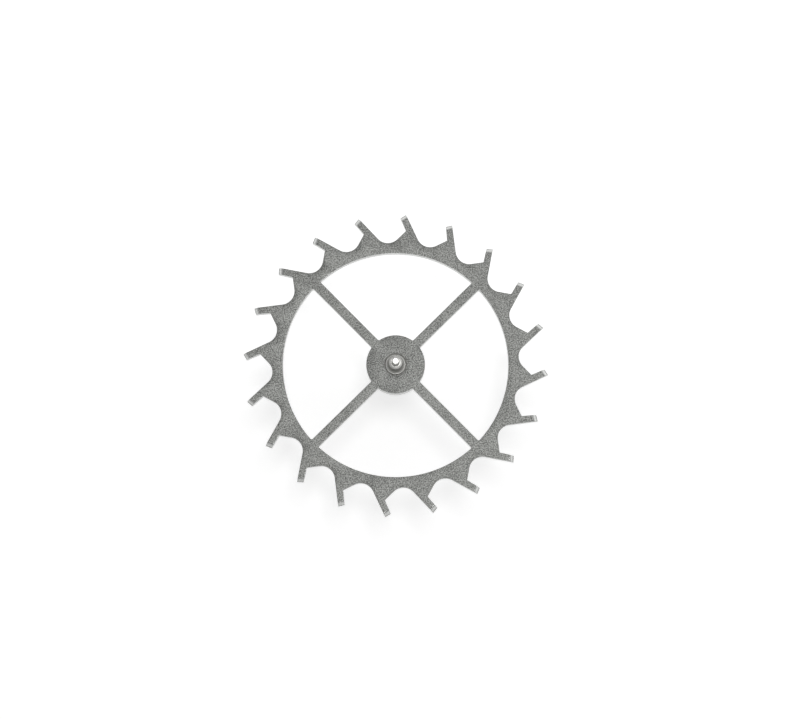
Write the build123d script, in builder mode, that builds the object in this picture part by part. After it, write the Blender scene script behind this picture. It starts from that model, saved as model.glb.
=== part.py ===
from build123d import *
from math import asin, degrees
import os

# Escape wheel of a mechanical watch: a toothed steel wheel riveted to its pinion.
# The origin is on the arbor's axis, at the end of the lower pivot.
# +Z runs along the arbor to the upper pivot, on the side where the wheel's face is bare.
# All lengths are in millimetres and all angles in degrees.

# Toothed rim; the tip circle passes through the heels, the trailing corners of the teeth
tooth_count = 20
tip_radius = 2.25
tooth_height = 0.434
rim_width = 0.156
rim_thickness = 0.15

# One tooth, which leans anticlockwise as seen from +Z
impulse_face_length = 0.096
impulse_angle = 36.0
locking_face_length = 0.215
locking_angle = 25.0
valley_arc_radius = 0.20
valley_centre_share = 0.398
tip_bevel_reach = 0.065
tip_bevel_depth = 0.055

# Arms and hub; the hub stands proud below the thinned arms and rim
arm_count = 4
arm_width = 0.144
first_arm_angle = 45.0
heel_after_arm_share = 0.304
window_corner_radius = 0.02
hub_radius = 0.433
hub_thickness = 0.25
hub_edge_bevel = 0.015

# Seat of the wheel on the pinion, the rivet spread into the mouth of the bore,
# and the hollow that the riveting punch leaves round the foot of the arbor
seat_radius = 0.21
rivet_flare = 0.02
rivet_hollow_radius = 0.17
rivet_hollow_depth = 0.02

# Pinion leaves, with radial flanks and rounded tops, between turned end faces
leaf_count = 7
pinion_pitch_radius = 0.295
leaf_addendum = 0.045
leaf_flank_depth = 0.105
leaf_dedendum = 0.125
leaf_thickness = 0.09
leaf_length = 0.50
leaf_end_bevel = 0.03
leaf_end_land = 0.05
leaf_end_hollow = 0.03

# Arbor, which tapers from each root to the shoulder of its pivot, and the straight pivots
lower_pivot_length = 0.22
lower_arbor_length = 0.83
lower_arbor_root_radius = 0.13
upper_arbor_length = 0.22
upper_arbor_root_radius = 0.12
upper_arbor_foot_radius = 0.02
upper_pivot_length = 0.18
arbor_end_radius = 0.10
pivot_radius = 0.055
pivot_end_radius = 0.02
shoulder_bevel = 0.02

# How far a cutting shape runs past what it cuts
overrun = 0.05

# Heights along the arbor
leaves_bottom = lower_pivot_length + lower_arbor_length
hub_bottom = leaves_bottom + leaf_length
wheel_face = hub_bottom + hub_thickness
rim_bottom = wheel_face - rim_thickness
hollow_floor = wheel_face - rivet_hollow_depth
upper_shoulder = wheel_face + upper_arbor_length
upper_end = upper_shoulder + upper_pivot_length

# Radii and angles that follow from the sizes
valley_floor_radius = tip_radius - tooth_height
rim_inner_radius = valley_floor_radius - rim_width
tooth_pitch = 360 / tooth_count
first_heel_angle = first_arm_angle + heel_after_arm_share * tooth_pitch
valley_angle = first_heel_angle + valley_centre_share * tooth_pitch
leaf_pitch = 360 / leaf_count
leaf_outer_radius = pinion_pitch_radius + leaf_addendum
leaf_foot_radius = pinion_pitch_radius - leaf_flank_depth
leaf_root_radius = pinion_pitch_radius - leaf_dedendum
leaf_half_angle = degrees(asin(leaf_thickness / 2 / pinion_pitch_radius))


def at_polar(radius, angle):
    """The point at a radius from the axis and an angle from +X."""
    return Vector(radius, 0).rotate(Axis.Z, angle)


def step_from(point, length, angle):
    """The point one step away, in a direction measured from the radius through the first."""
    return point + point.normalized().rotate(Axis.Z, angle) * length


# Toothed wheel
heel = at_polar(tip_radius, first_heel_angle)
next_heel = at_polar(tip_radius, first_heel_angle + tooth_pitch)
locking_corner = step_from(heel, impulse_face_length, 90 + impulse_angle)
neck = step_from(locking_corner, locking_face_length, 180 + locking_angle)
valley_centre = at_polar(valley_floor_radius + valley_arc_radius, valley_angle)

# From one heel to the next: impulse face, locking face, front flank, valley and back flank
with BuildLine() as tooth_line:
    valley_circle = CenterArc(valley_centre, valley_arc_radius, 0, 360, mode=Mode.PRIVATE)
    Polyline(heel, locking_corner, neck)
    front_flank = ConstrainedLines(
        valley_circle, neck, selector=lambda lines: lines.sort_by_distance((0, 0))[0]
    )
    back_flank = ConstrainedLines(
        valley_circle, next_heel, selector=lambda lines: lines.sort_by_distance(neck)[-1]
    )
    valley_floor = at_polar(valley_floor_radius, valley_angle)
    ThreePointArc(front_flank @ 0, valley_floor, back_flank @ 0)

with BuildPart() as toothed_wheel:
    # Rim, teeth and arms in one thin plate
    with BuildSketch(Plane.XY.offset(rim_bottom)):
        with BuildLine():
            for tooth in range(tooth_count):
                add(tooth_line.line.rotate(Axis.Z, tooth * tooth_pitch))
        make_face()
    extrude(amount=rim_thickness)
    # Windows between the arms
    with BuildSketch(Plane.XY.offset(rim_bottom - overrun)) as windows:
        Circle(rim_inner_radius)
        Circle(hub_radius, mode=Mode.SUBTRACT)
        with PolarLocations(0, arm_count // 2, first_arm_angle, 180):
            Rectangle(2 * tip_radius, arm_width, mode=Mode.SUBTRACT)
        fillet(windows.vertices(), window_corner_radius)
    extrude(amount=rim_thickness + 2 * overrun, mode=Mode.SUBTRACT)
    # Hub at the full thickness
    with BuildSketch(Plane.XY.offset(hub_bottom)):
        Circle(hub_radius)
    extrude(amount=hub_thickness)
    chamfer(toothed_wheel.edges().group_by(Axis.Z)[0], hub_edge_bevel)
    # Bevel on the face along each tooth's end
    face = toothed_wheel.faces().sort_by(Axis.Z)[-1]
    tip_edges = face.edges().sort_by_distance((0, 0, wheel_face))[-tooth_count:]
    chamfer(tip_edges, tip_bevel_reach, tip_bevel_depth, reference=face)
    # Bore for the seat, with a flared mouth for the rivet
    with Locations((0, 0, wheel_face)):
        CounterSinkHole(seat_radius, seat_radius + rivet_flare, counter_sink_angle=90)

toothed_wheel.part.label = "toothed_wheel"

# Pinion with its arbor and pivots, turned and cut from one piece
leaf_right = -leaf_half_angle
next_leaf_right = leaf_pitch - leaf_half_angle

with BuildLine() as leaf_line:
    Line(at_polar(leaf_foot_radius, leaf_right), at_polar(pinion_pitch_radius, leaf_right))
    # Half an ellipse rounds the top, from flank to flank
    top_foot = at_polar(pinion_pitch_radius, leaf_half_angle).X
    top_height = leaf_outer_radius - top_foot
    EllipticalCenterArc((top_foot, 0), top_height, leaf_thickness / 2, start_angle=-90, arc_size=180)
    Line(at_polar(pinion_pitch_radius, leaf_half_angle), at_polar(leaf_foot_radius, leaf_half_angle))
    ThreePointArc(
        at_polar(leaf_foot_radius, leaf_half_angle),
        at_polar(leaf_root_radius, leaf_pitch / 2),
        at_polar(leaf_foot_radius, next_leaf_right),
    )

with BuildPart() as pinion:
    with BuildSketch(Plane.XY.offset(leaves_bottom)):
        with BuildLine():
            for leaf in range(leaf_count):
                add(leaf_line.line.rotate(Axis.Z, leaf * leaf_pitch))
        make_face()
    extrude(amount=leaf_length)
    # The turned blank bevels the ends of the leaves and hollows their lower faces
    bevel_radius = leaf_outer_radius - leaf_end_bevel
    with BuildSketch(Plane.XZ):
        with BuildLine():
            Polyline(
                (0, leaves_bottom + leaf_end_hollow),
                (lower_arbor_root_radius, leaves_bottom + leaf_end_hollow),
                (bevel_radius - leaf_end_land, leaves_bottom),
                (bevel_radius, leaves_bottom),
                (leaf_outer_radius + overrun, leaves_bottom + leaf_end_bevel + overrun),
                (leaf_outer_radius + overrun, hub_bottom - leaf_end_bevel - overrun),
                (bevel_radius, hub_bottom),
                (0, hub_bottom),
                close=True,
            )
        make_face()
    revolve(axis=Axis.Z, mode=Mode.INTERSECT)
    # Pivots, arbor, seat and rivet
    with BuildSketch(Plane.XZ):
        with BuildLine():
            Polyline(
                (0, 0),
                (pivot_radius, 0),
                (pivot_radius, lower_pivot_length),
                (arbor_end_radius - shoulder_bevel, lower_pivot_length),
                (arbor_end_radius, lower_pivot_length + shoulder_bevel),
                (lower_arbor_root_radius, leaves_bottom + leaf_end_hollow),
                (lower_arbor_root_radius, hub_bottom),
                (seat_radius, hub_bottom),
                (seat_radius, wheel_face - rivet_flare),
                (seat_radius + rivet_flare, wheel_face),
                (rivet_hollow_radius, wheel_face),
                (rivet_hollow_radius - rivet_hollow_depth, hollow_floor),
                (upper_arbor_root_radius, hollow_floor),
                (arbor_end_radius, upper_shoulder - shoulder_bevel),
                (arbor_end_radius - shoulder_bevel, upper_shoulder),
                (pivot_radius, upper_shoulder),
                (pivot_radius, upper_end),
                (0, upper_end),
                close=True,
            )
        make_face()
    revolve(axis=Axis.Z)
    rings = pinion.edges().filter_by(GeomType.CIRCLE)
    fillet(rings.group_by(Axis.Z)[0] + rings.group_by(Axis.Z)[-1], pivot_end_radius)
    at_floor = pinion.edges().filter_by(GeomType.CIRCLE).filter_by_position(
        Axis.Z, hollow_floor - rivet_hollow_depth / 2, hollow_floor + rivet_hollow_depth / 2
    )
    fillet(at_floor.sort_by(SortBy.RADIUS)[0], upper_arbor_foot_radius)

pinion.part.label = "pinion"

print(f"Overall height {upper_end:.3f} mm, tip diameter {2 * tip_radius:.3f} mm")
print(f"Rim inner radius {rim_inner_radius:.3f} mm, valley floor radius {valley_floor_radius:.3f} mm")

os.makedirs("parts", exist_ok=True)
export_step(toothed_wheel.part, "parts/toothed_wheel.step")
export_step(pinion.part, "parts/pinion.step")
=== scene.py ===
# %% [markdown]
# # Escape wheel of a mechanical watch
#
# The escape wheel is the last wheel of a watch's train. Its club-shaped teeth push the pallets to and fro,
# and its pinion is driven by the wheel before it. The object has two pieces: a toothed wheel cut from thin
# steel sheet, and a pinion turned from steel rod, on which the wheel is riveted.
#
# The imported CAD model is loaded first. It says where everything is, and its box is the limit that the
# finer surfaces of this file keep to.

# %% Load the frame
import bmesh
import bpy
import numpy as np
from mathutils import Matrix, Vector


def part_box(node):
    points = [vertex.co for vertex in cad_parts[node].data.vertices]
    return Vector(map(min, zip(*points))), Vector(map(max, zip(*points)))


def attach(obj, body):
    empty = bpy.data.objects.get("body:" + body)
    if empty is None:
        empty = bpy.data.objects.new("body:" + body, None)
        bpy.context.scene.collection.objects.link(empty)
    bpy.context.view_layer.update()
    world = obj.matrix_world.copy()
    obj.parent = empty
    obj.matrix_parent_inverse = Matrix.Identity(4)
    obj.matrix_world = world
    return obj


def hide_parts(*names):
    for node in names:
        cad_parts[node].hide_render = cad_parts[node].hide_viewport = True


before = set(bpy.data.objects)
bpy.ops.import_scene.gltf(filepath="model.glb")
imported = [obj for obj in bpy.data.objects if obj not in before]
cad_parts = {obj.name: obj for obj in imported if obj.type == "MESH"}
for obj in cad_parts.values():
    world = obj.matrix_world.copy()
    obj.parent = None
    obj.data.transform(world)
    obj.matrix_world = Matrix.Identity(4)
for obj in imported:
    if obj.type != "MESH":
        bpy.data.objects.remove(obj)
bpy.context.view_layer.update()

MM = 0.001
wheel_low, wheel_high = (np.array(corner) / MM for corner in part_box("toothed_wheel"))
pinion_low, pinion_high = (np.array(corner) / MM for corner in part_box("pinion"))
print("CAD nodes:", sorted(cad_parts))
print("wheel from", wheel_low.round(3), "to", wheel_high.round(3), "mm")
print("pinion from", pinion_low.round(3), "to", pinion_high.round(3), "mm")

# %% [markdown]
# ## Sizes
#
# The CAD mesh of such a small part is coarse: its rim has a few dozen straight pieces. Both pieces are
# therefore made again here as fine surfaces in the same place, from the same few sizes. Heights come
# from the frame, and the other sizes are written once, in millimetres and degrees. The tooth sizes are
# those of one club tooth; the tip circle runs through the trailing corners of the teeth, their heels.

# %% Sizes of the wheel
wheel_face = wheel_high[2]
hub_bottom = wheel_low[2]
rim_thickness = 0.15
rim_bottom = wheel_face - rim_thickness

tooth_count = 20
tooth_pitch = 360 / tooth_count
tip_radius = 2.25
tooth_height = 0.434
rim_width = 0.156
valley_floor_radius = tip_radius - tooth_height
rim_inner_radius = valley_floor_radius - rim_width

impulse_face_length = 0.096
impulse_angle = 36.0
locking_face_length = 0.215
locking_angle = 25.0
valley_arc_radius = 0.20
valley_centre_share = 0.398
tip_bevel_reach = 0.065
tip_bevel_depth = 0.055

arm_count = 4
arm_half_width = 0.072
first_arm_angle = 45.0
heel_after_arm_share = 0.304
corner_radius = 0.02
hub_radius = 0.433
hub_edge_bevel = 0.015
edge_round = 0.006
print("rim", round(float(rim_bottom), 3), "to", round(float(wheel_face), 3), "mm high")

# %% [markdown]
# The pinion's sizes run from the seat, where the wheel sits, over the leaves to the arbors and pivots. The
# addendum is how far a leaf rises above the pitch circle, and the dedendum how deep its root lies below it.

# %% Sizes of the pinion
upper_end = pinion_high[2]
lower_end = pinion_low[2]
seat_radius = 0.21
rivet_flare = 0.02
rivet_hollow_radius = 0.17
rivet_hollow_depth = 0.02

leaf_count = 7
leaf_pitch = 360 / leaf_count
pinion_pitch_radius = 0.295
leaf_addendum = 0.045
leaf_flank_depth = 0.105
leaf_dedendum = 0.125
leaf_outer_radius = pinion_pitch_radius + leaf_addendum
leaf_foot_radius = pinion_pitch_radius - leaf_flank_depth
leaf_root_radius = pinion_pitch_radius - leaf_dedendum
leaf_half_thickness = 0.045
leaf_length = 0.50
leaf_end_bevel = 0.03
leaf_end_land = 0.05
leaf_end_hollow = 0.03
leaves_bottom = hub_bottom - leaf_length

lower_pivot_length = 0.22
upper_pivot_length = 0.18
lower_shoulder = lower_end + lower_pivot_length
upper_shoulder = upper_end - upper_pivot_length
lower_root_radius = 0.13
arbor_end_radius = 0.10
shoulder_bevel = 0.02
pivot_radius = 0.055
pivot_end_radius = 0.02
print("leaves", round(float(leaves_bottom), 3), "to", round(float(hub_bottom), 3), "mm high")

# %% [markdown]
# ## From arrays to a mesh
#
# Every surface is a grid of points: rows along one parameter, columns along the other. A grid's faces are
# numbered by arithmetic on whole arrays. A piece is a list of grids that share the points of their common
# edges, so merging equal points closes it into one watertight skin.

# %% Faces of a grid
def grid_faces(batches, rows, columns, wrap):
    """Corner numbers of a grid's four-sided faces: a point, its right neighbour, and the two a row on.

    With wrap, the last column's right neighbour is the first column.
    """
    across = columns if wrap else columns - 1
    batch, row, column = np.meshgrid(
        np.arange(batches), np.arange(rows - 1), np.arange(across), indexing="ij"
    )
    start = (batch * rows + row) * columns
    here, right = start + column, start + (column + 1) % columns
    return np.stack([here, right, right + columns, here + columns], axis=-1).reshape(-1, 4)


print("a band of 2 rings and 3 columns has", len(grid_faces(1, 2, 3, True)), "faces")

# %% One closed mesh
SAME_POINT = 1e-5
SHARP_ANGLE = 35


def build_piece(name, grids, materials):
    """One closed mesh from grids of points in millimetres.

    Each grid is (points, wrap, material number, smooth), its points shaped batch, row, column, xyz.
    Points that lie within SAME_POINT millimetres are merged, the faces are turned outwards, and edges
    that bend by more than SHARP_ANGLE degrees stay sharp in the shading.
    """
    corners, faces, slots, smooth = [], [], [], []
    first = 0
    for points, wrap, material, is_smooth in grids:
        batches, rows, columns, _ = points.shape
        numbered = grid_faces(batches, rows, columns, wrap)
        corners.append(points.reshape(-1, 3) * MM)
        faces.append(numbered + first)
        slots.append(np.full(len(numbered), material))
        smooth.append(np.full(len(numbered), is_smooth))
        first += batches * rows * columns
    mesh = bpy.data.meshes.new(name)
    mesh.from_pydata(np.concatenate(corners), [], np.concatenate(faces).tolist())
    mesh.polygons.foreach_set("material_index", np.concatenate(slots).astype(np.int32))
    mesh.polygons.foreach_set("use_smooth", np.concatenate(smooth))
    skin = bmesh.new()
    skin.from_mesh(mesh)
    bmesh.ops.remove_doubles(skin, verts=skin.verts, dist=SAME_POINT * MM)
    bmesh.ops.recalc_face_normals(skin, faces=skin.faces)
    open_edges = sum(not edge.is_manifold for edge in skin.edges)
    volume = skin.calc_volume(signed=True) / MM**3
    skin.to_mesh(mesh)
    skin.free()
    mesh.set_sharp_from_angle(angle=np.radians(SHARP_ANGLE))
    for material in materials:
        mesh.materials.append(material)
    piece = bpy.data.objects.new(name, mesh)
    bpy.context.scene.collection.objects.link(piece)
    print(name, len(mesh.polygons), "faces,", open_edges, "open edges,", round(volume, 4), "mm3")
    return piece


print("points within", SAME_POINT, "mm are one point, and edges past", SHARP_ANGLE, "degrees are sharp")

# %% [markdown]
# Outlines are drawn in the plane by radius and angle, as a wheel cutter thinks, and then raised to their
# height. An outline's points carry no end point of their own, because the next stretch starts there.

# %% Points and outlines in the plane
def polar(radius, angle):
    """Points by radius and angle in degrees: x is the radius times the cosine, y times the sine."""
    turn = np.radians(angle)
    return np.stack([radius * np.cos(turn), radius * np.sin(turn)], axis=-1)


def turned(points, angle):
    """Points turned about the axis, by one angle in degrees or by an array that fits the points.

    The new x is x times the cosine less y times the sine, and the new y is x times the sine plus y
    times the cosine.
    """
    turn = np.radians(angle)
    x, y = points[..., 0], points[..., 1]
    return np.stack([x * np.cos(turn) - y * np.sin(turn), x * np.sin(turn) + y * np.cos(turn)], axis=-1)


def between(start, end, count):
    """Points evenly spaced from start towards end, without the end: the start plus shares of the way."""
    share = (np.arange(count) / count)[:, None]
    return start + (end - start) * share


def arc(centre, radius, start, end, count):
    """Points round a circle from a start angle towards an end angle, in equal steps, without the end."""
    return centre + polar(radius, start + (end - start) * np.arange(count) / count)


def angle_of(point):
    """The angle of a point from +X, in degrees: the arc tangent of y over x, in the right quarter."""
    return np.degrees(np.arctan2(point[..., 1], point[..., 0]))


def inwards(loop, side):
    """The way into the material at each point of a closed outline, long enough to keep walls parallel.

    The normals of the two edges at a point are added and divided by one plus their product. The side is
    1 where the material is to the left of the outline and -1 where it is to the right.
    """
    along = np.roll(loop, -1, axis=0) - loop
    along /= np.linalg.norm(along, axis=1, keepdims=True)
    after = side * np.stack([-along[:, 1], along[:, 0]], axis=1)
    before = np.roll(after, 1, axis=0)
    return (before + after) / (1 + np.sum(before * after, axis=1, keepdims=True))


def raised(points, height):
    """Points of the plane at a height, which is one number or one for each point."""
    return np.concatenate([points, np.broadcast_to(height, points.shape[:-1])[..., None]], axis=-1)


print("a point 2 mm out at 90 degrees, 1 mm high:", raised(polar(2, 90), 1).round(6))

# %% [markdown]
# ## The outline of the teeth
#
# A club tooth leans the way the wheel turns. Its end is the impulse face, its front is the locking face,
# and two straight flanks run down from it into a round valley. The real outline is milled tooth by tooth,
# or cut by laser or by etching. Here one tooth is drawn from its corners and then turned twenty times.
#
# The capitals say how many steps each stretch of the outline gets: the impulse face, the bevelled end or
# club, the rest of the locking face, a flank, the valley, and the back from the valley to the club.

# %% Corners of one tooth
IMPULSE, CLUB, FACE, FLANK, VALLEY = 8, 8, 4, 8, 18
BACK = FACE + FLANK
first_heel_angle = first_arm_angle + heel_after_arm_share * tooth_pitch


def tangent_point(centre, radius, point, side):
    """Where a line from a point touches a circle.

    The direction from the centre to the point is turned by the angle whose cosine is the radius over
    the distance, to one side or the other.
    """
    reach = point - centre
    distance = np.hypot(*reach)
    spread = np.degrees(np.arccos(radius / distance))
    return centre + turned(reach / distance, side * spread) * radius


heel = polar(tip_radius, first_heel_angle)
next_heel = polar(tip_radius, first_heel_angle + tooth_pitch)
locking_corner = heel + polar(impulse_face_length, first_heel_angle + 90 + impulse_angle)
neck = locking_corner + polar(locking_face_length, angle_of(locking_corner) + 180 + locking_angle)
valley_angle = first_heel_angle + valley_centre_share * tooth_pitch
valley_centre = polar(valley_floor_radius + valley_arc_radius, valley_angle)
front_touch = tangent_point(valley_centre, valley_arc_radius, neck, -1)
back_touch = tangent_point(valley_centre, valley_arc_radius, next_heel, 1)
print("heel", heel.round(3), "locking corner", locking_corner.round(3), "neck", neck.round(3))

# %% [markdown]
# The ends carry a polished bevel on the upper side. It reaches back by the same distance from every point
# of the impulse face, so its corners are found along the front and the back of the tooth.

# %% Outline of one tooth
along_end = (locking_corner - heel) / impulse_face_length
from_end = np.array([-along_end[1], along_end[0]])
bevel_on_face = locking_corner + (neck - locking_corner) * (
    tip_bevel_reach / ((neck - locking_corner) @ from_end)
)
back_of_first = turned(back_touch, -tooth_pitch)
bevel_on_back = heel + (back_of_first - heel) * (tip_bevel_reach / ((back_of_first - heel) @ from_end))
bevel_on_next = turned(bevel_on_back, tooth_pitch)

valley_start = angle_of(front_touch - valley_centre)
valley_end = valley_start - (valley_start - angle_of(back_touch - valley_centre)) % 360
tooth = np.concatenate([
    between(heel, locking_corner, IMPULSE),
    between(locking_corner, bevel_on_face, CLUB),
    between(bevel_on_face, neck, FACE),
    between(neck, front_touch, FLANK),
    arc(valley_centre, valley_arc_radius, valley_start, valley_end, VALLEY),
    between(back_touch, bevel_on_next, BACK),
    between(bevel_on_next, next_heel, CLUB),
])
print("one tooth has", len(tooth), "points")

# %% [markdown]
# The bevel starts softly, because it is rubbed and not cut. Its inner part is rubbed bright and flashes in
# the light, and its outer part keeps the grey of the cut.

# %% Bevel and all twenty teeth
SOFT_START = 0.7


def bevel_drop(way):
    """How far the bevel has dropped, as a share of its depth, along its way from the face to the end.

    It starts as a parabola, way squared over twice the soft start, and goes on as the straight line that
    touches it there.
    """
    drop = np.where(way < SOFT_START, way**2 / (2 * SOFT_START), way - SOFT_START / 2)
    return drop / (1 - SOFT_START / 2)


up_the_bevel = np.arange(CLUB) / CLUB
bevel_share = np.concatenate([
    np.ones(IMPULSE),
    bevel_drop(1 - up_the_bevel),
    np.zeros(FACE + FLANK + VALLEY + BACK),
    bevel_drop(up_the_bevel),
])
tooth_points = len(tooth)
turns = tooth_pitch * np.arange(tooth_count)
outline = turned(tooth, turns[:, None]).reshape(-1, 2)
outline_top = wheel_face - tip_bevel_depth * np.tile(bevel_share, tooth_count)
print("outline", len(outline), "points, valley floor", round(float(np.hypot(*outline.T).min()), 4), "mm")

# %% [markdown]
# ## The windows between the arms
#
# Four arms carry the rim. The windows between them are cut with a small round in each corner, where a
# sharp one would start a crack. One side of an arm is an outline of its own: a round out of the hub, a
# straight edge, and a round into the rim. A window runs out along one arm, round the rim, in along the
# next arm and back round the hub.
#
# The rim's arc has as many steps as five teeth and valleys less one arm, so that its points can be joined
# to those of the outline one by one.

# %% Arm sides and windows
CORNER, EDGE, ARM_ACROSS, HUB_ARC = 6, 6, 8, 40
RIM_ARC = 5 * (IMPULSE + VALLEY) - ARM_ACROSS

beside = arm_half_width + corner_radius
hub_corner = np.array([np.sqrt((hub_radius + corner_radius) ** 2 - beside**2), beside])
rim_corner = np.array([np.sqrt((rim_inner_radius - corner_radius) ** 2 - beside**2), beside])
arm_side = np.concatenate([
    arc(hub_corner, corner_radius, 180 + angle_of(hub_corner), 270, CORNER),
    between(hub_corner * [1, 0] + [0, arm_half_width], rim_corner * [1, 0] + [0, arm_half_width], EDGE),
    arc(rim_corner, corner_radius, 270, 360 + angle_of(rim_corner), CORNER),
])
SIDE = len(arm_side)
hub_touch = angle_of(hub_corner)
rim_touch = angle_of(rim_corner)
rim_touch_point = polar(rim_inner_radius, rim_touch)
other_side = turned(np.concatenate([arm_side, [rim_touch_point]]) * [1, -1], 90)[::-1]
window = np.concatenate([
    arm_side,
    arc(0, rim_inner_radius, rim_touch, 90 - rim_touch, RIM_ARC),
    other_side[:-1],
    arc(0, hub_radius, 90 - hub_touch, hub_touch, HUB_ARC),
])
arm_angles = first_arm_angle + 90 * np.arange(arm_count)
print("window", len(window), "points, arm touches the rim", round(float(rim_touch), 2), "deg to each side")

# %% [markdown]
# ## Walls with broken edges
#
# No edge on a finished wheel is perfectly sharp: stoning and tumbling leave a round of a few thousandths
# of a millimetre, and that round is what catches the light. A wall is its outline carried down the
# thickness, with a quarter round at each end. The same rings give the flat faces their borders.

# %% Wall rings
ROUND_STEPS = np.radians([0, 22.5, 45, 67.5, 90])
HOLD = 1.6


def wall(loop, side, top, bottom, bottom_share=1.0):
    """Rings of a wall from its top to its bottom.

    At an angle through the quarter round, the ring lies in from the outline by the round's radius times
    one minus the sine, and below the face by the radius times one minus the cosine. One ring more, HOLD
    radii down, keeps the wall's shading flat. The bottom share fades the lower round out where it is less
    than one, as on the hub's arc, where the wall goes on down.
    """
    way = inwards(loop, side)
    inset = edge_round * np.append(1 - np.sin(ROUND_STEPS), 0)[:, None]
    drop = edge_round * np.append(1 - np.cos(ROUND_STEPS), HOLD)[:, None]
    share = np.broadcast_to(bottom_share, len(loop))
    upper = raised(loop + way * inset[:, :, None], top - drop)
    lower = raised(loop + way * (inset * share)[:, :, None], bottom + drop * share)
    return np.concatenate([upper, lower[::-1]])


outer_wall = wall(outline, 1, outline_top, rim_bottom)
window_share = np.concatenate([
    np.linspace(0, 1, CORNER, endpoint=False),
    np.ones(EDGE + CORNER + RIM_ARC + CORNER + EDGE),
    np.linspace(1, 0, CORNER, endpoint=False),
    np.zeros(HUB_ARC),
])
window_wall = wall(window, -1, wheel_face, rim_bottom, window_share)
print("walls", outer_wall.shape, window_wall.shape)

# %% [markdown]
# ## Flat faces as ruled strips
#
# A flat face could be filled in one go, but then its faces would be long slivers. Here it is ruled: a
# tooth is a strip between its front and its back, the rim is a strip between the feet of the teeth and
# the windows, an arm is a strip between its two sides, and the hub is a strip between its edge and the
# bore. Strips that meet share their points. The upper and lower sides use the same function.

# %% Strips of the teeth
FRONT_END = IMPULSE + CLUB + FACE + FLANK
BACK_START = FRONT_END + VALLEY


def strip(left, right, count):
    """Points ruled from one curve to another: the left point plus equal shares of the way to the right."""
    share = np.linspace(0, 1, count + 1)[:, None]
    return left[..., None, :] + (right - left)[..., None, :] * share


def tooth_strips(teeth):
    """One strip a tooth, ruled from its back to its front; the rows run from its foot to its end."""
    fronts = teeth[:, IMPULSE:FRONT_END + 1][:, ::-1]
    after = np.roll(teeth, -1, axis=0)[:, :1]
    backs = np.roll(np.concatenate([teeth[:, BACK_START:], after], axis=1), 1, axis=0)
    fingers = strip(backs, fronts, IMPULSE)
    fingers[:, -1] = teeth[:, :IMPULSE + 1]
    return fingers


print("a tooth's front has", FRONT_END - IMPULSE, "steps and its back", tooth_points - BACK_START)

# %% Strips of the arms
HUB_ARC_START = SIDE + RIM_ARC + SIDE


def all_windows(points):
    """The points of one window, turned to each of the four places."""
    return np.stack([raised(turned(points[..., :2], angle), points[..., 2]) for angle in arm_angles])


def arm_strips(windows):
    """One strip an arm, ruled between the windows at its sides; the rows run from the hub to the rim.

    Near the hub and the rim the rows bow out to follow the circle there. A circle of radius r passes
    the arm at the root of r squared less y squared, and a point moves by what that is more than at the
    arm's side. So the ends lie on the circles, and the sides stay in place.
    """
    ahead = windows[:, :SIDE + 1]
    behind = np.roll(windows, 1, axis=0)[:, SIDE + RIM_ARC:HUB_ARC_START + 1][:, ::-1]
    arms = strip(behind, ahead, ARM_ACROSS)
    local = turned(arms[..., :2], -arm_angles[:, None, None])
    x, y = local[..., 0], local[..., 1]
    start, end, side = x[:, :1, :1], x[:, -1:, :1], y[:, :, :1]
    hub_circle, rim_circle = np.hypot(*windows[0, [0, SIDE], :2].T)
    hub_fade = np.clip((start + corner_radius - x) / corner_radius, 0, 1)
    rim_fade = np.clip((x - end + corner_radius) / corner_radius, 0, 1)
    bowed = x + hub_fade * (np.sqrt(hub_circle**2 - y**2) - np.sqrt(hub_circle**2 - side**2))
    bowed = bowed + rim_fade * (np.sqrt(rim_circle**2 - y**2) - np.sqrt(rim_circle**2 - side**2))
    arms[..., :2] = turned(np.stack([bowed, y], axis=-1), arm_angles[:, None, None])
    return arms


print("an arm has", SIDE, "rows of", ARM_ACROSS, "steps")

# %% Both sides of the wheel
def plate_strips(outer, inner):
    """The flat strips of one side: teeth, rim and arms, and the ring of points round the hub.

    The outer ring has the teeth's points in order, and the inner one the points of one window.
    """
    teeth = outer.reshape(tooth_count, tooth_points, 3)
    fingers = tooth_strips(teeth)
    windows = all_windows(inner)
    arms = arm_strips(windows)

    rim_arcs = windows[:, SIDE:SIDE + RIM_ARC]
    rim_inner = np.concatenate([rim_arcs, np.roll(arms, -1, axis=0)[:, -1, :-1]], axis=1).reshape(-1, 3)
    valleys, feet = teeth[:, FRONT_END:BACK_START], fingers[:, 0, :-1]
    rim_outer = np.concatenate([valleys, np.roll(feet, -1, axis=0)], axis=1).reshape(-1, 3)
    start_at = np.argmin(np.linalg.norm(rim_outer[:, :2] - rim_inner[0, :2], axis=1))
    rim = np.stack([rim_inner, np.roll(rim_outer, -start_at, axis=0)])[None]

    hub_arcs = np.concatenate([windows[:, HUB_ARC_START:], windows[:, :1]], axis=1)[:, ::-1]
    hub_ring = np.concatenate([arms[:, 0, :-1], hub_arcs[:, :-1]], axis=1).reshape(-1, 3)
    return fingers, rim, arms, hub_ring


top_fingers, top_rim, top_arms, top_hub = plate_strips(outer_wall[0], window_wall[0])
low_fingers, low_rim, low_arms, low_hub = plate_strips(outer_wall[-1], window_wall[-1])
print("strips", top_fingers.shape, top_rim.shape, top_arms.shape, top_hub.shape)

# %% [markdown]
# ## The hub
#
# The hub is thicker than the rim, because the rivet needs metal to hold. It is the one round form of the
# wheel, so it is a profile carried round the axis: down the hub's edge, over a small bevel, in along its
# lower face, up the bore, and out over the flared mouth that the rivet fills.

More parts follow.
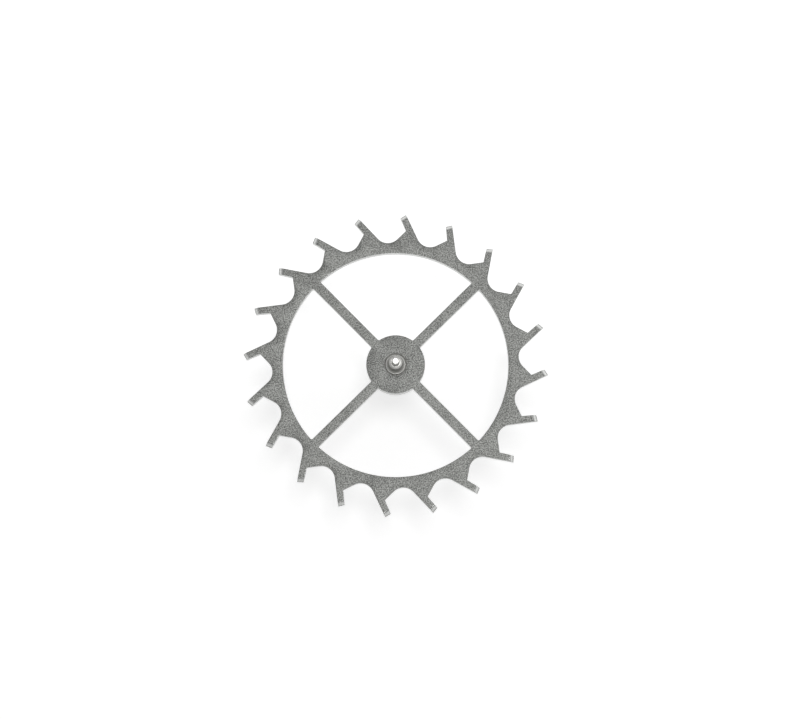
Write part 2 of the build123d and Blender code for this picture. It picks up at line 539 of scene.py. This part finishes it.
# %% Hub
hub_profile = np.array([
    (hub_radius, rim_bottom),
    (hub_radius, hub_bottom + hub_edge_bevel),
    (hub_radius - hub_edge_bevel, hub_bottom),
    (seat_radius, hub_bottom),
    (seat_radius, wheel_face - rivet_flare),
    (seat_radius + rivet_flare, wheel_face),
])
hub_angles = angle_of(low_hub)
hub_lathe = raised(polar(hub_profile[:, :1], hub_angles), hub_profile[:, 1:])
hub_face = np.stack([top_hub, hub_lathe[-1]])
print("hub ring", len(hub_angles), "points")

# %% [markdown]
# ## The closed wheel
#
# Every stretch of the skin gets the finish that it has on the real wheel: stoned flat faces, polished
# edges, and the bright part of the bevels. Of the eight rows of a bevel, the inner five are bright.

# %% Grids of the wheel
STONED, POLISHED, TIPS = 0, 1, 2
BRIGHT_ROWS = 5


def wheel_grids():
    """Every grid of the wheel, with its wrap, its material and whether it is shaded smooth."""
    return [
        (outer_wall[None], True, POLISHED, True),
        (all_windows(window_wall), True, POLISHED, True),
        (top_fingers[:, :BACK + 1], False, STONED, False),
        (top_fingers[:, BACK:BACK + BRIGHT_ROWS + 1], False, TIPS, True),
        (top_fingers[:, BACK + BRIGHT_ROWS:], False, POLISHED, True),
        (low_fingers, False, STONED, False),
        (top_rim, True, STONED, False),
        (low_rim, True, STONED, False),
        (top_arms, False, STONED, False),
        (low_arms, False, STONED, False),
        (hub_face[None], True, STONED, False),
        (hub_lathe[None, 2:4], True, STONED, False),
        (hub_lathe[None, :3], True, POLISHED, True),
        (hub_lathe[None, 3:], True, POLISHED, True),
    ]


print("the wheel has", len(wheel_grids()), "grids")

# %% [markdown]
# ## The pinion
#
# The pinion is turned on a lathe: pivots, shoulders and tapered arbors are one profile carried round the
# axis. Its leaves are then cut with a small milling cutter. The skin here is one grid from the lower
# pivot's end to the upper one. Each ring of the grid is a circle, except along the leaves, where the
# ring follows their outline.
#
# Two helpers draw a turned profile. A lathe tool has a small nose radius, so no inner corner is sharp, and
# the rounds that are rubbed on afterwards, such as the pivots' ends, are parts of ellipses.

# %% Softened corners and rounds of a turned profile
def softened(profile, radius=0.004):
    """A turned profile whose inner corners are rounded, given and returned as rows of radius and height.

    A corner P becomes the curve (1-t)^2 A + 2t(1-t) P + t^2 B between a point A before it and B after it.
    One point more on each side holds the straight parts straight.
    """
    corner, before, after = profile[1:-1], profile[:-2], profile[2:]
    back, ahead = before - corner, after - corner
    back_length = np.linalg.norm(back, axis=1, keepdims=True)
    ahead_length = np.linalg.norm(ahead, axis=1, keepdims=True)
    cut = np.minimum(radius, 0.3 * np.minimum(back_length, ahead_length))
    start, end = corner + back / back_length * cut, corner + ahead / ahead_length * cut
    t = np.array([0, 1, 2, 3])[:, None, None] / 3
    curve = (1 - t) ** 2 * start + 2 * t * (1 - t) * corner + t**2 * end
    hold_start, hold_end = start + back / back_length * cut / 2, end + ahead / ahead_length * cut / 2
    points = np.concatenate([hold_start[None], curve, hold_end[None]]).transpose(1, 0, 2).reshape(-1, 2)
    return np.concatenate([profile[:1], points, profile[-1:]])


def bent(centre, reach, start, end, count):
    """Points of an elliptical round on a profile, the end included.

    The reach is how far the round goes along the radius and along the height; a point is the centre plus
    the reach times the cosine and the sine of an angle.
    """
    return centre + polar(1, np.linspace(start, end, count)) * reach


print("a quarter round of 1 mm:", bent((0, 0), 1, 0, 90, 3).round(3).tolist())

# %% [markdown]
# ### Lower pivot and arbor
#
# A pivot runs in a jewel and carries its whole friction, so it is as thin as it can be, straight and
# burnished. Its end is flat with a rounded border: the flat keeps friction low when the watch lies down.
# The shoulder behind it is a flat ring that limits the play. The profile goes up from the end, where one
# ring just inside the border of the flat holds it flat.

# %% Profiles below the leaves
pivot_end_reach = 0.013
end_round = [pivot_end_reach, pivot_end_radius]
end_flat = pivot_radius - pivot_end_reach
end_hold = end_flat - edge_round
lower_tip = np.concatenate([
    [(0, lower_end), (end_hold, lower_end)],
    bent((end_flat, lower_end + pivot_end_radius), end_round, -90, 0, 6),
])
lower_pivot = np.array([(pivot_radius, lower_end + pivot_end_radius), (pivot_radius, lower_shoulder)])
lower_arbor = softened(np.array([
    (pivot_radius, lower_shoulder),
    (arbor_end_radius - shoulder_bevel, lower_shoulder),
    (arbor_end_radius, lower_shoulder + shoulder_bevel),
    (lower_root_radius, leaves_bottom + leaf_end_hollow),
]))
print("lower arbor profile", len(lower_arbor), "points")

# %% [markdown]
# ### One leaf
#
# A leaf has straight sides that run towards the axis, a rounded top, and a hollow root between it and
# the next leaf. The samples on its sides lie exactly on the radii where the end faces change their
# slope, so the rings of the end faces close without slivers.
#
# The root is an arc through the feet of two neighbouring leaves and the bottom between them. Its centre
# lies where it is as far from a foot as from the bottom.

# %% Leaf outline by radius
side_radii = np.array([leaf_foot_radius, seat_radius, 0.235, 0.26, 0.2775])
TOP, ROOT = 12, 12
leaf_half_angle = np.degrees(np.arcsin(leaf_half_thickness / pinion_pitch_radius))

top_foot = pinion_pitch_radius * np.cos(np.radians(leaf_half_angle))
lift = np.radians(np.linspace(-90, 90, TOP + 1))
leaf_top = np.stack([
    top_foot + (leaf_outer_radius - top_foot) * np.cos(lift), leaf_half_thickness * np.sin(lift)
], axis=1)

half_gap = leaf_pitch / 2 - leaf_half_angle
root_centre = (leaf_foot_radius**2 - leaf_root_radius**2) / (
    2 * (leaf_foot_radius * np.cos(np.radians(half_gap)) - leaf_root_radius)
)
root_spread = np.degrees(np.arcsin(
    leaf_foot_radius * np.sin(np.radians(half_gap)) / (root_centre - leaf_root_radius)
))
root = turned(
    arc([root_centre, 0], root_centre - leaf_root_radius, 180 + root_spread, 180 - root_spread, ROOT),
    leaf_pitch / 2,
)
leaf_radius = np.concatenate([
    side_radii, np.hypot(*leaf_top.T), side_radii[:0:-1], np.hypot(*root.T)
])
print("leaf outline", len(leaf_radius), "points, half angle", round(float(leaf_half_angle), 2), "deg")

# %% [markdown]
# Where the rings are circles, the same columns have to be spread round the circle, or many of them would
# crowd on one line along a leaf's side. The fan shares move them apart by a little.

# %% Leaf outline and circles by angle
sides = np.full(len(side_radii), leaf_half_angle)
leaf_angle = np.concatenate([-sides, angle_of(leaf_top), sides[1:], angle_of(root)])
fan_shares = np.array([1, 1, 0.93, 0.86, 0.79])
top_share = 0.72
circle_angle = np.concatenate([
    -leaf_half_angle * fan_shares,
    leaf_half_angle * np.linspace(-top_share, top_share, TOP + 1),
    leaf_half_angle * fan_shares[:0:-1],
    leaf_half_angle + 2 * half_gap * np.arange(ROOT) / ROOT,
])
leaf_turns = leaf_pitch * np.arange(leaf_count)[:, None]
outline_radius = np.tile(leaf_radius, leaf_count)
outline_angle = (leaf_turns + leaf_angle).ravel()
ring_angle = (leaf_turns + circle_angle).ravel()
print("pinion grid", len(ring_angle), "columns")

# %% [markdown]
# ### Ends of the leaves
#
# The lower ends of the leaves are turned hollow, so that only a narrow land is left to polish, and their
# outer corners are bevelled. The upper ends lie against the wheel. A ring of an end face is the leaf
# outline held back to a limiting radius, at the height that the turned profile has there.

# %% Rings along the leaves
bevel_radius = leaf_outer_radius - leaf_end_bevel
land_radius = bevel_radius - leaf_end_land


def lower_end_height(radius):
    """Height of the leaves' lower ends: a hollow cone, a flat land and a bevel of 45 degrees."""
    cone = np.clip((land_radius - radius) / (land_radius - lower_root_radius), 0, 1)
    return leaves_bottom + leaf_end_hollow * cone + np.maximum(radius - bevel_radius, 0)


def upper_end_height(radius):
    """Height of the leaves' upper ends: flat against the wheel, with a bevel of 45 degrees."""
    return hub_bottom - np.maximum(radius - bevel_radius, 0)


def outline_ring(limit, height):
    """A ring along the leaf outline, held back to a limiting radius. The height follows the radius."""
    radius = np.minimum(outline_radius, limit)
    return raised(polar(radius, outline_angle), height(radius))


limits = np.concatenate([side_radii, [pinion_pitch_radius, bevel_radius, leaf_outer_radius]])
lower_ends = np.stack([outline_ring(limit, lower_end_height) for limit in limits])
upper_ends = np.stack([outline_ring(limit, upper_end_height) for limit in limits[:0:-1]])
print("rings along the leaves", len(lower_ends) + len(upper_ends))

# %% [markdown]
# ### Seat, rivet and hollow
#
# Above the leaves stands the seat that the wheel is pushed on to. Its upper end is spread with a hollow
# punch into the flared mouth of the bore, and the face is stoned flat afterwards, so no seam shows. The
# punch leaves a shallow dish round the arbor's foot, drawn as half a wave of the cosine. The arbor rises
# from the dish with a hollow sweep, because a sharp inner corner would be the first place to break.

# %% Profiles above the leaves
seat_profile = np.array([
    (seat_radius, hub_bottom),
    (seat_radius, wheel_face - rivet_flare),
    (seat_radius + rivet_flare, wheel_face),
])
face_profile = np.array([(seat_radius + rivet_flare, wheel_face), (rivet_hollow_radius, wheel_face)])

hollow_floor = wheel_face - rivet_hollow_depth
foot_radius = 0.14
way_in = np.linspace(0, 1, 8)
hollow_profile = np.stack([
    rivet_hollow_radius + (foot_radius - rivet_hollow_radius) * way_in,
    wheel_face - rivet_hollow_depth * (1 - np.cos(np.pi * way_in)) / 2,
], axis=1)

sweep_width, sweep_height, sweep_end = 0.037, 0.05, 184
sweep_centre = (foot_radius, hollow_floor + sweep_height)
foot_sweep = bent(sweep_centre, (sweep_width, sweep_height), 270, sweep_end, 7)
above_sweep = (0.1025, hollow_floor + 0.07)
upper_arbor = np.concatenate([
    foot_sweep,
    softened(np.array([
        above_sweep,
        (arbor_end_radius, upper_shoulder - shoulder_bevel),
        (arbor_end_radius - shoulder_bevel, upper_shoulder),
        (pivot_radius, upper_shoulder),
    ])),
])
upper_pivot = np.array([(pivot_radius, upper_shoulder), (pivot_radius, upper_end - pivot_end_radius)])
upper_tip = np.concatenate([
    bent((end_flat, upper_end - pivot_end_radius), end_round, 0, 90, 6),
    [(end_hold, upper_end), (0, upper_end)],
])
print("upper arbor profile", len(upper_arbor), "points")

# %% [markdown]
# ## The closed pinion
#
# The grids follow each other from end to end. Each has its own finish: burnished pivots, turned arbors and
# seat, cut leaves, the rivet's stoned face and the hollow with its punch marks.

# %% Grids of the pinion
TURNED, CUT, FACE_STONED, PUNCHED, PIVOT = 0, 1, 2, 3, 4


def turned_rings(profile):
    """Rings of circles for rows of radius and height, one ring a row."""
    return raised(polar(profile[:, :1], ring_angle), profile[:, 1:])


def pinion_grids():
    """Every grid of the pinion, with its wrap, its material and whether it is shaded smooth."""
    leaves = np.concatenate([turned_rings(lower_arbor)[-1:], lower_ends, upper_ends])
    seat = np.concatenate([upper_ends[-1:], turned_rings(seat_profile)])
    return [
        (turned_rings(lower_tip)[None], True, PIVOT, True),
        (turned_rings(lower_pivot)[None], True, PIVOT, True),
        (turned_rings(lower_arbor)[None], True, TURNED, True),
        (leaves[None], True, CUT, True),
        (seat[None], True, TURNED, True),
        (turned_rings(face_profile)[None], True, FACE_STONED, False),
        (turned_rings(hollow_profile)[None], True, PUNCHED, True),
        (turned_rings(upper_arbor)[None], True, TURNED, True),
        (turned_rings(upper_pivot)[None], True, PIVOT, True),
        (turned_rings(upper_tip)[None], True, PIVOT, True),
    ]


print("the pinion has", len(pinion_grids()), "grids")

# %% [markdown]
# ## Finishes
#
# Both pieces are hardened and tempered carbon steel, and what tells them apart is how each surface was
# worked. Steel is a metal, so the shader is fully metallic and keeps its own index of refraction. Its base
# colour is how much it mirrors, and its roughness how far it scatters the mirror image.

# %% Helpers for colours and nodes
def linear(code):
    """A linear colour from an sRGB hex code.

    Each channel is a share of 255. Up to 0.04045 it is divided by 12.92; above, 0.055 is added, the sum
    is divided by 1.055 and raised to the power 2.4.
    """
    share = np.array([int(code[i:i + 2], 16) for i in (1, 3, 5)]) / 255
    values = np.where(share <= 0.04045, share / 12.92, ((share + 0.055) / 1.055) ** 2.4)
    return (*values.tolist(), 1.0)


def add_node(tree, kind, links=None, **settings):
    """Adds a node. Settings are its properties or its sockets by name; links join sockets to outputs."""
    new = tree.nodes.new(kind)
    for name, value in settings.items():
        if hasattr(new, name):
            setattr(new, name, value)
        else:
            new.inputs[name.replace("_", " ")].default_value = value
    for name, output in (links or {}).items():
        tree.links.new(output, new.inputs[name])
    return new


def metal(name):
    """A new metal with its Object coordinates: (material, node tree, shader, coordinates)."""
    material = bpy.data.materials.new(name)
    material.use_nodes = True
    tree = material.node_tree
    shader = tree.nodes["Principled BSDF"]
    shader.inputs["Metallic"].default_value = 1.0
    coordinates = add_node(tree, "ShaderNodeTexCoord").outputs["Object"]
    return material, tree, shader, coordinates


print("mid grey in linear light:", round(linear("#808080")[0], 3))

# %% [markdown]
# On all of these surfaces the tool marks do three things at once. They make the metal mirror a little more
# or less, scatter a little more or less, and stand up by a fraction of a micrometre. One function lets a
# pattern drive the three.

# %% Marks on a metal
def mark(tree, shader, marks, tint, span, colours, rough, swing, relief):
    """Lets a pattern of marks move a metal's colour, roughness and fine relief.

    The tint is the pattern for the colour, which goes from the first colour to the second over its span.
    The roughness swings about its middle value, and the relief is (strength, depth in millimetres).
    """
    ramp = add_node(tree, "ShaderNodeValToRGB", {"Fac": tint})
    for end, position, code in zip(ramp.color_ramp.elements, span, colours):
        end.position = position
        end.color = linear(code)
    tree.links.new(ramp.outputs["Color"], shader.inputs["Base Color"])
    roughness = add_node(
        tree, "ShaderNodeMapRange", {"Value": marks}, To_Min=rough - swing, To_Max=rough + swing
    )
    tree.links.new(roughness.outputs["Result"], shader.inputs["Roughness"])
    strength, depth = relief
    bump = add_node(tree, "ShaderNodeBump", {"Height": marks}, Strength=strength, Distance=depth * MM)
    tree.links.new(bump.outputs["Normal"], shader.inputs["Normal"])


print("marks drive a metal's colour, roughness and relief")

# %% [markdown]
# ### Stoned steel
#
# The faces of the wheel are rubbed flat on a stone with fine grit, round and round, which leaves an even
# matte grey without direction. The grit is only a few thousandths of a millimetre wide. It is drawn about
# 0.017 mm wide, about one pixel of the picture, or it would vanish. A second, wider mottling is the faint
# unevenness that the hand leaves on a flat face. The hollow round the arbor's foot has the same kind of
# grain from the face of the punch. Its colour is painted much lighter than the face: painted light that
# cancels the shade in the hollow and brightens the arbor's foot, which mirrors it.

# %% Stoned and punched steel
GRAIN, MOTTLE = 0.017, 0.22
MOTTLE_SHARE = 0.10


def stoned_steel(name, colours, rough):
    """Matte hardened steel: fine grain without direction, with a little of a wider mottling."""
    material, tree, shader, at = metal(name)
    grain = add_node(
        tree, "ShaderNodeTexNoise", {"Vector": at}, Scale=1 / (GRAIN * MM), Detail=3.0, Roughness=0.6
    ).outputs["Fac"]
    mottle = add_node(
        tree, "ShaderNodeTexNoise", {"Vector": at}, Scale=1 / (MOTTLE * MM), Detail=2.0, Roughness=0.5
    ).outputs["Fac"]
    both = add_node(tree, "ShaderNodeMix", {"A": grain, "B": mottle}, Factor=MOTTLE_SHARE).outputs["Result"]
    mark(tree, shader, grain, both, (0.41, 0.59), colours, rough, 0.06, (0.35, 0.0015))
    return material


# The stoned face is a dull mid grey that only glows softly where it mirrors the lamp.
stoned = stoned_steel("hardened_steel_stoned", ("#555654", "#A2A3A0"), 0.46)
# The punched hollow is painted pale, lighter than the stoned face, to cancel the shade in the hollow; it
# shows as a pale, blurred ring round the arbor.
punched = stoned_steel("hardened_steel_punch_marked_painted_light", ("#9A9A97", "#C8C8C5"), 0.55)
print("made", stoned.name, "and", punched.name)

# %% [markdown]
# ### Cut and polished edges
#
# The flanks, the walls of the windows and the bevels on the tooth ends are polished after cutting. They
# look much lighter than the stoned face, and they keep faint marks of the cutter that run across the
# thickness. The cutter's marks are drawn 0.014 mm apart, wider than the real ones, so that they show. On
# the tooth ends, where the polishing stick crosses them, they are specks of 0.03 mm.

# %% Polished and cut steel
def polished_steel(name, colours, rough, size):
    """Polished hardened steel with faint marks of the cutter; size is that of one mark along x, y and z."""
    material, tree, shader, at = metal(name)
    divided = add_node(tree, "ShaderNodeVectorMath", {0: at}, operation="DIVIDE")
    divided.inputs[1].default_value = [length * MM for length in size]
    place = divided.outputs["Vector"]
    cutter = add_node(
        tree, "ShaderNodeTexNoise", {"Vector": place}, Scale=1.0, Detail=2.0, Roughness=0.6
    ).outputs["Fac"]
    mark(tree, shader, cutter, cutter, (0.35, 0.65), colours, rough, 0.05, (0.2, 0.0003))
    return material


# The edges mirror the white surroundings with upright streaks.
edges = polished_steel("hardened_steel_polished_edges", ("#A2A3A1", "#C5C6C4"), 0.27, (0.014, 0.014, 0.2))
# The tooth ends are the brightest part and flash as the wheel turns.
tips = polished_steel("hardened_steel_polished_tooth_tips", ("#CCCDCB", "#E0E1DF"), 0.16, [0.03] * 3)
# The leaves are smoother than the edges, with long streaks where the cutter ran along them.
leaves_cut = polished_steel("hardened_steel_cut_leaves", ("#A2A2A0", "#C6C6C4"), 0.22, (0.014, 0.014, 0.3))
print("made", edges.name, tips.name, "and", leaves_cut.name)

# %% [markdown]
# ### Turned and burnished steel
#
# A lathe tool leaves a fine thread round the work. Its rings depend only on the distance from the axis
# and on the height, so the noise gets these two as its coordinates. The rings are drawn 0.012 mm apart,
# several times wider than real ones.

# %% Turned and burnished steel
RING = 0.012


def turned_steel(name, colours, rough):
    """Turned and burnished steel: noise over (distance from the axis, height) draws rings."""
    material, tree, shader, at = metal(name)
    parts = add_node(tree, "ShaderNodeSeparateXYZ", {"Vector": at}).outputs
    flat = add_node(tree, "ShaderNodeCombineXYZ", {"X": parts["X"], "Y": parts["Y"]}).outputs["Vector"]
    distance = add_node(tree, "ShaderNodeVectorMath", {0: flat}, operation="LENGTH").outputs["Value"]
    place = add_node(tree, "ShaderNodeCombineXYZ", {"X": distance, "Z": parts["Z"]}).outputs["Vector"]
    rings = add_node(
        tree, "ShaderNodeTexNoise", {"Vector": place}, Scale=1 / (RING * MM), Detail=2.0, Roughness=0.6
    ).outputs["Fac"]
    mark(tree, shader, rings, rings, (0.35, 0.65), colours, rough, 0.04, (0.25, 0.0005))
    return material


# The arbors are satin, with rings that show when the light comes from the side.
turned_satin = turned_steel("hardened_steel_turned", ("#ACACA9", "#C8C8C5"), 0.40)
# The pivots are rolled smooth between burnishers: brighter, with rings that hardly show.
burnished = turned_steel("hardened_steel_burnished_pivot", ("#BCBCB9", "#CCCCC9"), 0.32)
print("made", turned_satin.name, "and", burnished.name)

# %% [markdown]
# ## The two pieces in place
#
# Each fine piece stands for its CAD node and rides on the one body that the object has, because the wheel
# and the pinion are riveted together.

# %% Make the pieces
wheel = build_piece("escape_wheel_blank", wheel_grids(), [stoned, edges, tips])
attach(wheel, "root")
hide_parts("toothed_wheel")

pinion_finishes = [turned_satin, leaves_cut, stoned, punched, burnished]
pinion = build_piece("leaved_pinion", pinion_grids(), pinion_finishes)
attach(pinion, "root")
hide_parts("pinion")

# %% [markdown]
# ## The sheet
#
# The object stands on a white sheet. The sheet is a diffuse white that also shines a little towards the
# camera and into the metal, so that it reads as white and still keeps the soft shadow. Its glow is painted
# stronger towards the back: painted light that stands in for the back of the sheet being lit more, so the
# shadow shows below the hub and is washed out above it.

# %% White sheet
def seen_directly(tree):
    """One for a ray that comes from the camera, from gloss or through glass, and zero for any other."""
    path = add_node(tree, "ShaderNodeLightPath").outputs
    either = add_node(
        tree, "ShaderNodeMath", {0: path["Is Camera Ray"], 1: path["Is Glossy Ray"]}, operation="MAXIMUM"
    ).outputs[0]
    return add_node(
        tree, "ShaderNodeMath", {0: either, 1: path["Is Transmission Ray"]}, operation="MAXIMUM"
    ).outputs[0]


paper = bpy.data.materials.new("white_paper_sheet")
paper.use_nodes = True
tree = paper.node_tree
tree.nodes.clear()
diffuse = add_node(tree, "ShaderNodeBsdfDiffuse", Color=linear("#F6F6F6")).outputs[0]
sheet_place = add_node(tree, "ShaderNodeTexCoord").outputs["Object"]
towards_back = add_node(tree, "ShaderNodeSeparateXYZ", {"Vector": sheet_place}).outputs["Y"]
# Painted light: the glow grows from the front of the sheet to its back.
glow_with_painted_back_light = add_node(
    tree, "ShaderNodeMapRange", {"Value": towards_back}, interpolation_type="SMOOTHSTEP",
    From_Min=-0.4 * MM, From_Max=0.9 * MM, To_Min=0.43, To_Max=0.54,
).outputs["Result"]
glow_strength = add_node(
    tree, "ShaderNodeMath", {0: seen_directly(tree), 1: glow_with_painted_back_light}, operation="MULTIPLY"
).outputs[0]
glow = add_node(tree, "ShaderNodeEmission", {"Strength": glow_strength}).outputs[0]
together = add_node(tree, "ShaderNodeAddShader", {0: diffuse, 1: glow}).outputs[0]
add_node(tree, "ShaderNodeOutputMaterial", {"Surface": together})

sheet_mesh = bpy.data.meshes.new("paper_sheet")
reach = 80 * MM
sheet_corners = raised(np.array([(-1, -1), (1, -1), (1, 1), (-1, 1)]) * reach, 0)
sheet_mesh.from_pydata(sheet_corners, [], [(0, 1, 2, 3)])
sheet_mesh.materials.append(paper)
sheet = bpy.data.objects.new("paper_sheet", sheet_mesh)
bpy.context.scene.collection.objects.link(sheet)
print("sheet", round(2 * reach / MM), "mm wide")

# %% [markdown]
# ## The room
#
# Metal shows the room around it. This one is white, dimmer towards the ceiling than at the walls, and
# brighter towards the right and the back than opposite. So the bevels of the teeth flash on that side and
# stay duller on the other, as in the photo. The camera itself sees plain white.

# %% Room
bright_way = (0.77, 0.64, 0)

world = bpy.data.worlds.new("soft_room")
world.use_nodes = True
bpy.context.scene.world = world
tree = world.node_tree
path = add_node(tree, "ShaderNodeLightPath").outputs
direction = add_node(tree, "ShaderNodeTexCoord").outputs["Generated"]
rise = add_node(tree, "ShaderNodeSeparateXYZ", {"Vector": direction}).outputs["Z"]
ceiling = add_node(
    tree, "ShaderNodeMapRange", {"Value": rise}, From_Min=0.35, From_Max=1.0, To_Min=1.0, To_Max=0.33
).outputs["Result"]
to_bright_side = add_node(tree, "ShaderNodeVectorMath", {0: direction}, operation="DOT_PRODUCT")
to_bright_side.inputs[1].default_value = bright_way
bright_side = add_node(
    tree, "ShaderNodeMapRange", {"Value": to_bright_side.outputs["Value"]},
    From_Min=-1.0, From_Max=1.0, To_Min=0.55, To_Max=1.0,
).outputs["Result"]
room = add_node(tree, "ShaderNodeMath", {0: ceiling, 1: bright_side}, operation="MULTIPLY").outputs[0]
seen = add_node(
    tree, "ShaderNodeMath", {0: room, 1: path["Is Camera Ray"]}, operation="MAXIMUM"
).outputs[0]
tree.links.new(seen, tree.nodes["Background"].inputs["Strength"])
tree.nodes["Background"].inputs["Color"].default_value = (1, 1, 1, 1)
print("room", world.name, "made")

# %% [markdown]
# ## The lamp
#
# One wide lamp hangs almost straight above. Its width makes the shadow soft, and it leans a little to the
# back and the right, which moves the shadow of the hub to the front. It is also what the flat faces and
# the pivot's end mirror towards the camera.

# %% Lamp
lamp_height = 100 * MM
lamp_lean = (0.058, 0.065)
lamp_data = bpy.data.lights.new("wide_lamp", "AREA")
lamp_data.shape = "DISK"
lamp_data.size = 0.24 * lamp_height
lamp_data.energy = 0.0165
lamp = bpy.data.objects.new("wide_lamp", lamp_data)
lamp.location = (lamp_lean[0] * lamp_height, lamp_lean[1] * lamp_height, lamp_height)
lamp.rotation_euler = Vector(lamp.location).to_track_quat("Z", "Y").to_euler()
bpy.context.scene.collection.objects.link(lamp)
print("lamp at", [round(value / MM, 1) for value in lamp.location], "mm")

# %% [markdown]
# ## The camera
#
# The camera looks down almost along the arbor. How many pixels a millimetre of the wheel's face takes
# sets its distance. The hub lies a little left of the picture's middle and below it, so the camera aims
# beside the hub by the same number of pixels, and it is rolled by a third of a degree.

# %% Camera
PHOTO_WIDTH = 800
elevation = np.radians(82.5)
roll = np.radians(0.34)
pixels_per_mm = 68.0
pixels_right, pixels_up = 4.35, 4.8
lens, sensor = 100.0, 36.0
back = Vector((0, -np.cos(elevation), np.sin(elevation)))
upward = Vector((0, np.sin(elevation), np.cos(elevation)))
sideways = Vector((1, 0, 0))
face_centre = Vector((0, 0, wheel_face * MM))
aim = face_centre + (sideways * pixels_right + upward * pixels_up) * (MM / pixels_per_mm)
distance = PHOTO_WIDTH / pixels_per_mm * MM * lens / sensor

camera_data = bpy.data.cameras.new("camera")
camera_data.lens = lens
camera_data.sensor_width = sensor
camera_data.clip_start = 1 * MM
camera_data.clip_end = 1.0
camera = bpy.data.objects.new("camera", camera_data)
facing = Matrix((sideways, upward, back)).transposed() @ Matrix.Rotation(roll, 3, "Z")
camera.matrix_world = Matrix.Translation(aim + back * distance) @ facing.to_4x4()
bpy.context.scene.collection.objects.link(camera)
bpy.context.scene.camera = camera
print("camera", round(distance / MM, 2), "mm from its aim point")

# %% [markdown]
# ## Finish
#
# The view transform shows colours as they are written. The CAD parts stay in the scene, hidden, beside the
# fine pieces.

# %% Finish
bpy.context.scene.view_settings.view_transform = "Standard"
